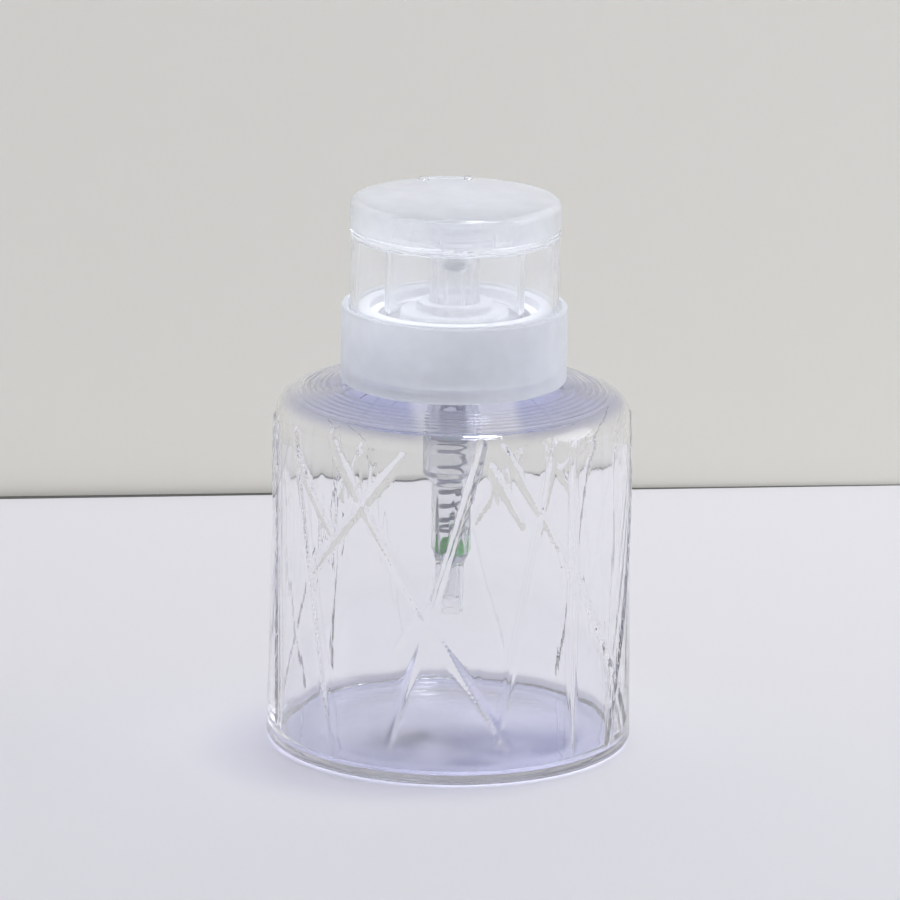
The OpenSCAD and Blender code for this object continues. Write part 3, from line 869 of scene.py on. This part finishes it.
class PUMPBOTTLE_OT_head(bpy.types.Operator):
    """Build the press head: skirt, dish, guide tube and socket, with two hinge ears and a finger notch"""

    bl_idname = "pump_bottle.head"
    bl_label = "Press head"

    def execute(self, context):
        skirt, skirt_in, tube_r, tube_in = 19.25, 18.2, 12.9, 12.0
        socket_r, socket_in, cap_hole = 4.6, 3.3, 2.3
        tube_foot, socket_foot = CUP_FLOOR + 8.5, CUP_FLOOR + 8.8
        dish, spout, cap_seat = NECK + 16.1, NECK + 17.2, NECK + 14.22
        # The dish is a shallow bowl: it rises with the square of the distance from its flat middle.
        flat_r, bowl_r, bowl_rise = 5.6, 17.8, 1.25
        dish_r = np.linspace(bowl_r, flat_r, 9)
        bowl = np.column_stack([dish_r, dish + bowl_rise * ((dish_r - flat_r) / 12.2) ** 2, 0 * dish_r])
        corners = [
            (socket_in, socket_foot, 0.2), (socket_r, socket_foot, 0.25), (socket_r, dish - 1.1, 0.5),
            (tube_in, dish - 0.6, 0.5), (tube_in, tube_foot, 0.15), (tube_r, tube_foot, 0.2),
            (tube_r, dish - 0.3, 0.4), (skirt_in, dish + 0.4, 0.4), (skirt_in, HEAD_FOOT, 0.2),
            (skirt, HEAD_FOOT, 0.25), (skirt, RIM - 0.75, 0.1), (LID_R, RIM - 0.65, 0.12),
            (LID_R, RIM, 0.2), (18.4, RIM, 0.2), *bowl, (socket_r, dish + 0.2, 0.25),
            (socket_r, spout, 0.2), (cap_hole, spout, 0.2), (cap_hole, cap_seat, 0.1),
            (socket_in, cap_seat, 0.1)]

        def notch(radius, height, angle):
            """Cuts the finger notch: the rim goes back to its inner radius under the lid's tab."""
            rim_in = 18.45
            near = fade(np.abs(angle) * LID_R, 3.1, 2.6)
            rim = (radius > rim_in) & (height > RIM - 0.68)
            return np.where(rim, radius - near * (radius - rim_in), radius)

        parts = [turned(corners, 256, notch)]
        ear_foot, ear_r, ear_thick = RIM - 0.9, 1.8, 1.4
        front, back, chin = HINGE_Y - ear_r, HINGE_Y + ear_r, HINGE_Y + 1.2
        ear = np.vstack([arc(HINGE_Y, HINGE_Z, ear_r, 0, 180, 25),
                         run((front, HINGE_Z), (front, ear_foot), 6)[1:],
                         run((front, ear_foot), (chin, ear_foot), 5),
                         run((chin, ear_foot), (back, RIM + 0.4), 3),
                         run((back, RIM + 0.4), (back, HINGE_Z), 5)])
        parts += [slab(ear, start, start + ear_thick, 0.2) for start in (-4.9, 3.5)]
        piece("press_dish_head", parts, "head", ["press_head"], "clear_moulded_pp")
        return {"FINISHED"}


class PUMPBOTTLE_OT_lid(bpy.types.Operator):
    """Build the flip lid: domed cap with a thumb tab, sealing rings and a hinge knuckle with two pins"""

    bl_idname = "pump_bottle.lid"
    bl_label = "Flip lid"

    def execute(self, context):
        edge, dome = 1.5, 0.35
        side_in, ceiling = LID_R - 1.2, LID_TOP - 1.25
        top_r = np.linspace(0.05, LID_R - edge, 12)
        top = np.column_stack([top_r, LID_TOP - dome * (top_r / (LID_R - edge)) ** 2])
        # Two rings hang from the ceiling: one seals the dish, the other the outlet cap.
        dish_ring, dish_ring_in, cap_ring, cap_ring_in = 14.4, 13.6, 4.5, 3.7
        below = rounded([
            (LID_R, LID_FOOT + 3, 0), (LID_R, LID_FOOT + 1.6, 0), (LID_R, LID_FOOT, 0.25),
            (side_in, LID_FOOT, 0.2), (side_in, ceiling, 0.8), (dish_ring, ceiling, 0.2),
            (dish_ring, LID_FOOT - 0.1, 0.2), (dish_ring_in, LID_FOOT - 0.1, 0.2),
            (dish_ring_in, ceiling, 0.3), (cap_ring, ceiling, 0.3), (cap_ring, LID_FOOT - 0.5, 0.2),
            (cap_ring_in, LID_FOOT - 0.5, 0.2), (cap_ring_in, ceiling, 0.3), (0.05, ceiling, 0)],
            closed=False)
        outline = np.vstack([top[:-1], arc(LID_R - edge, LID_TOP - dome - edge, edge, 84, 0, 9), below])

        def tab_and_notch(radius, height, angle):
            """Pulls the tab out at the front, and squeezes the rim straight across behind for the hinge."""
            tab = fade(np.abs(angle) * LID_R, 5.1, 4.4) * fade(height, LID_FOOT + 1.9, LID_FOOT + 1.4)
            radius = radius + 1.2 * tab * (radius > LID_R - 0.4)
            behind = np.abs(np.abs(angle) - np.pi)
            flat, kept_r = 15.6, 14.6
            bite = flat / np.cos(np.minimum(behind, 0.5))
            edge_here = bite + (LID_R - bite) * fade(behind, 0.285, 0.325)
            squeezed = kept_r + (radius - kept_r) * (edge_here - kept_r) / (LID_R - kept_r)
            return np.where((radius > kept_r) & (behind < 0.33), squeezed, radius)

        parts = [skin(spun(outline, 288, tab_and_notch))]
        knuckle_r, knuckle_half, pin_r, pin_long = 1.7, 3.3, 0.9, 2.6
        knuckle = arc(HINGE_Y, HINGE_Z, knuckle_r, 0, 345, 24)
        parts.append(slab(knuckle, -knuckle_half, knuckle_half, 0.25))
        pin = arc(HINGE_Y, HINGE_Z, pin_r, 0, 345, 24)
        parts += [slab(pin, start, start + pin_long, 0.15) for start in (-4.9, 2.3)]
        root, under, over = 14.8, HINGE_Z + 0.2, HINGE_Z + 1.6
        strap = rounded([(root, under, 0.2), (HINGE_Y, under, 0.2), (HINGE_Y, over, 0.3), (root, over, 0.3)])
        parts.append(slab(strap, -knuckle_half, knuckle_half, 0.2))
        piece("domed_flip_lid", parts, "lid", ["flip_lid"], "lid_moulded_pp")
        return {"FINISHED"}


# ---------------- stage

def plane(name, corners, material):
    """A flat sheet through four corners, in metres, that isn't part of the object."""
    mesh = bpy.data.meshes.new(name)
    mesh.from_pydata(corners, [], [(0, 1, 2, 3)])
    mesh.materials.append(material)
    made = bpy.data.objects.new(name, mesh)
    bpy.context.scene.collection.objects.link(made)


def area_light(name, place, target, size, power, colour):
    """A square soft light at place, facing target."""
    light = bpy.data.lights.new(name, "AREA")
    light.size = size
    light.energy = power
    light.color = colour
    made = bpy.data.objects.new(name, light)
    made.location = place
    made.rotation_euler = (Vector(target) - Vector(place)).to_track_quat("-Z", "Y").to_euler()
    bpy.context.scene.collection.objects.link(made)


class PUMPBOTTLE_OT_stage(bpy.types.Operator):
    """Set the table, the backdrop, the lights and the camera"""

    bl_idname = "pump_bottle.stage"
    bl_label = "Stage"

    def execute(self, context):
        scene = context.scene
        settings = scene.pump_bottle.stage
        # In metres: half the table's width, the backdrop's place and height, the painted shadow strip's
        # half length and its width on the left, and how far the table lies below the bottle's foot.
        wide, behind, tall = 2.5, 0.176, 0.42
        joint, seam, gap = 0.2, 0.0032, 0.00003
        plane("table",
              [(-wide, -wide, -gap), (wide, -wide, -gap), (wide, behind, -gap), (-wide, behind, -gap)],
              matte_board("white_table", settings.table, grain_mm=0.8, depth_mm=0.02))
        # A dark sheet lies in the gap between the table and the backdrop as painted shadow; it opens towards
        # the left.
        plane("joint", [(-joint, behind - seam, 0), (joint, behind, 0), (joint, behind + seam, 0),
                        (-joint, behind, 0)],
              matte_board("painted_gap_shadow", linear("5C5C58"), grain_mm=1.0, depth_mm=0.02))
        plane("backdrop",
              [(-wide, behind, -0.05), (wide, behind, -0.05), (wide, behind, tall), (-wide, behind, tall)],
              matte_board("painted_backdrop", settings.backdrop, grain_mm=1.2, depth_mm=0.03, one_sided=True))
        area_light("key_light", place=(0.16, 0.1, 1.0), target=(0, 0.02, 0), size=0.16,
                   power=settings.key_power, colour=linear("F6F8FF"))
        area_light("side_light", place=(1.1, 0.0, 0.6), target=(0, 0, 0.04), size=0.8,
                   power=settings.side_power, colour=linear("FAFAFF"))
        world = bpy.data.worlds.new("soft_room")
        world.use_nodes = True
        # The room's walls are brighter than its ceiling.
        sky = world.node_tree.nodes["Background"]
        ceiling_share = 0.25
        sky.inputs["Color"].default_value = rgba(linear("F6F7FD"))
        towards = add(world.node_tree, "ShaderNodeTexCoord").outputs["Generated"]
        rise = add(world.node_tree, "ShaderNodeSeparateXYZ", {"Vector": towards}).outputs["Z"]
        glow = ramp(world.node_tree, rise, first=settings.sky_light, last=ceiling_share * settings.sky_light)
        world.node_tree.links.new(glow, sky.inputs["Strength"])
        scene.world = world

        # The lens axis dips and the frame leans slightly; the camera looks past the axis.
        height, dip, lean, aside = 0.3795, np.radians(14.56), np.radians(0.87), -0.00041
        spin = Matrix.Rotation(-settings.turn, 3, "Z")
        right = spin @ Vector((1, 0, 0))
        forward = spin @ Vector((0, np.cos(dip), -np.sin(dip)))
        up = right.cross(forward)
        leaned = right * np.cos(lean) + up * np.sin(lean)
        upright = up * np.cos(lean) - right * np.sin(lean)
        view = Matrix((leaned, upright, -forward)).transposed().to_4x4()
        view.translation = spin @ Vector((aside, -settings.distance, height))
        camera = bpy.data.objects.new("camera", bpy.data.cameras.new("camera"))
        lens_mm, nearest = 278.68, 0.05
        camera.data.lens = lens_mm
        camera.data.clip_start = nearest
        camera.matrix_world = view
        scene.collection.objects.link(camera)
        scene.camera = camera

        scene.view_settings.view_transform = "Standard"
        # Light crosses dozens of clear and milky surfaces on its way through the pump.
        clear_bounces, milky_bounces = 40, 20
        scene.cycles.max_bounces = clear_bounces
        scene.cycles.transmission_bounces = clear_bounces
        scene.cycles.transparent_max_bounces = clear_bounces
        scene.cycles.glossy_bounces = clear_bounces
        scene.cycles.diffuse_bounces = milky_bounces
        return {"FINISHED"}


# ---------------- panel and run

BUILDERS = (
    PUMPBOTTLE_OT_stage, PUMPBOTTLE_OT_bottle, PUMPBOTTLE_OT_collar, PUMPBOTTLE_OT_chamber,
    PUMPBOTTLE_OT_guides, PUMPBOTTLE_OT_tube, PUMPBOTTLE_OT_balls, PUMPBOTTLE_OT_spring,
    PUMPBOTTLE_OT_piston, PUMPBOTTLE_OT_outlet, PUMPBOTTLE_OT_head, PUMPBOTTLE_OT_lid,
)


class PUMPBOTTLE_PT_panel(bpy.types.Panel):
    """Lists the settings and the builders"""

    bl_idname = "PUMPBOTTLE_PT_panel"
    bl_label = "Pump bottle"
    bl_space_type = "VIEW_3D"
    bl_region_type = "UI"
    bl_category = "Pump bottle"

    def draw(self, context):
        groups = context.scene.pump_bottle
        for group in (groups.bottle, groups.finish, groups.stage):
            box = self.layout.box()
            for name in group.__annotations__:
                box.prop(group, name)
        for builder in BUILDERS:
            self.layout.operator(builder.bl_idname)


CLASSES = (BottleSettings, FinishSettings, StageSettings, PumpBottleSettings, *BUILDERS, PUMPBOTTLE_PT_panel)


def register():
    for cls in CLASSES:
        bpy.utils.register_class(cls)
    bpy.types.Scene.pump_bottle = PointerProperty(type=PumpBottleSettings)


def unregister():
    del bpy.types.Scene.pump_bottle
    for cls in reversed(CLASSES):
        bpy.utils.unregister_class(cls)


def main():
    """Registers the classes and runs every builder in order."""
    register()
    for builder in BUILDERS:
        group, name = builder.bl_idname.split(".")
        getattr(getattr(bpy.ops, group), name)()


if __name__ == "__main__":
    main()
